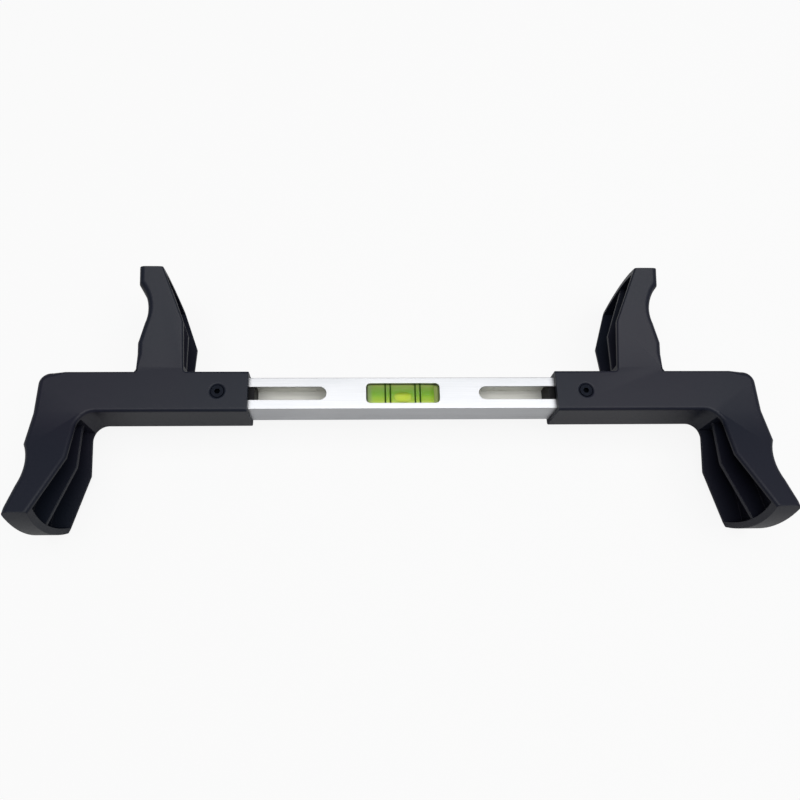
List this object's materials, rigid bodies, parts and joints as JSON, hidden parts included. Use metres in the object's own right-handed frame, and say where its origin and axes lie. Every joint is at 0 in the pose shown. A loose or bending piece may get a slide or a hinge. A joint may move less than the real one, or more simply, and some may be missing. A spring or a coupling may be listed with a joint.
{
  "type": "steering wheel level",
  "caption": "Aluminium tube with a bubble vial and two sprung sliding end casings, whose notched jaws press outwards on a wheel's rim.",
  "frame": {"origin": "under the middle of the tube, level with the flats that the four jaw tips rest on", "axes": "+X along the tube to the right hand casing, +Y from the tube towards the narrow pair of jaws, +Z out of the vial window"},
  "size_m": [0.41, 0.152, 0.0574],
  "materials": {
    "aluminium": "extruded, satin, with fine lines along the tube",
    "black_plastic": "moulded, fine matt texture",
    "block_plastic": "moulded, smooth",
    "black_steel": "black oxide",
    "plated_steel": "zinc plated",
    "spring_steel": "bright drawn wire",
    "pale_plastic": "moulded, satin",
    "clear_acrylic": "polished acrylic",
    "olive_plastic": "moulded, satin",
    "green_liquid": "clear dyed spirit",
    "bubble": "gas in dyed spirit",
    "line_paint": "printed ink"
  },
  "bodies": {
    "bar": {"bar_tube": "aluminium", "left_tube_plug": "block_plastic", "right_tube_plug": "block_plastic", "left_spring": "spring_steel", "right_spring": "spring_steel", "vial_cradle": "pale_plastic", "vial_body": "clear_acrylic", "vial_plug": "olive_plastic", "vial_liquid": "green_liquid", "vial_line_1": "line_paint", "vial_line_2": "line_paint", "vial_line_3": "line_paint", "vial_line_4": "line_paint"},
    "left_end": {"left_casing": "black_plastic", "left_slider_block": "block_plastic", "left_guide_screw": "black_steel", "left_block_nut": "plated_steel"},
    "right_end": {"right_casing": "black_plastic", "right_slider_block": "block_plastic", "right_guide_screw": "black_steel", "right_block_nut": "plated_steel"},
    "bubble": {"vial_bubble": "bubble"}
  },
  "joints": [
    {"name": "left_slide", "type": "slide", "parent": "bar", "child": "left_end", "axis": [1, 0, 0], "range_m": [0, 0.057], "stiffness_N_per_m": 150, "springref_m": -0.0165, "deforming": ["left_spring"]},
    {"name": "right_slide", "type": "slide", "parent": "bar", "child": "right_end", "axis": [-1, 0, 0], "range_m": [0, 0.057], "stiffness_N_per_m": 150, "springref_m": -0.0165, "deforming": ["right_spring"]},
    {"name": "bubble_drift", "type": "slide", "parent": "bar", "child": "bubble", "axis": [1, 0, 0], "range_m": [-0.01, 0.01], "stiffness_N_per_m": 1}
  ]
}
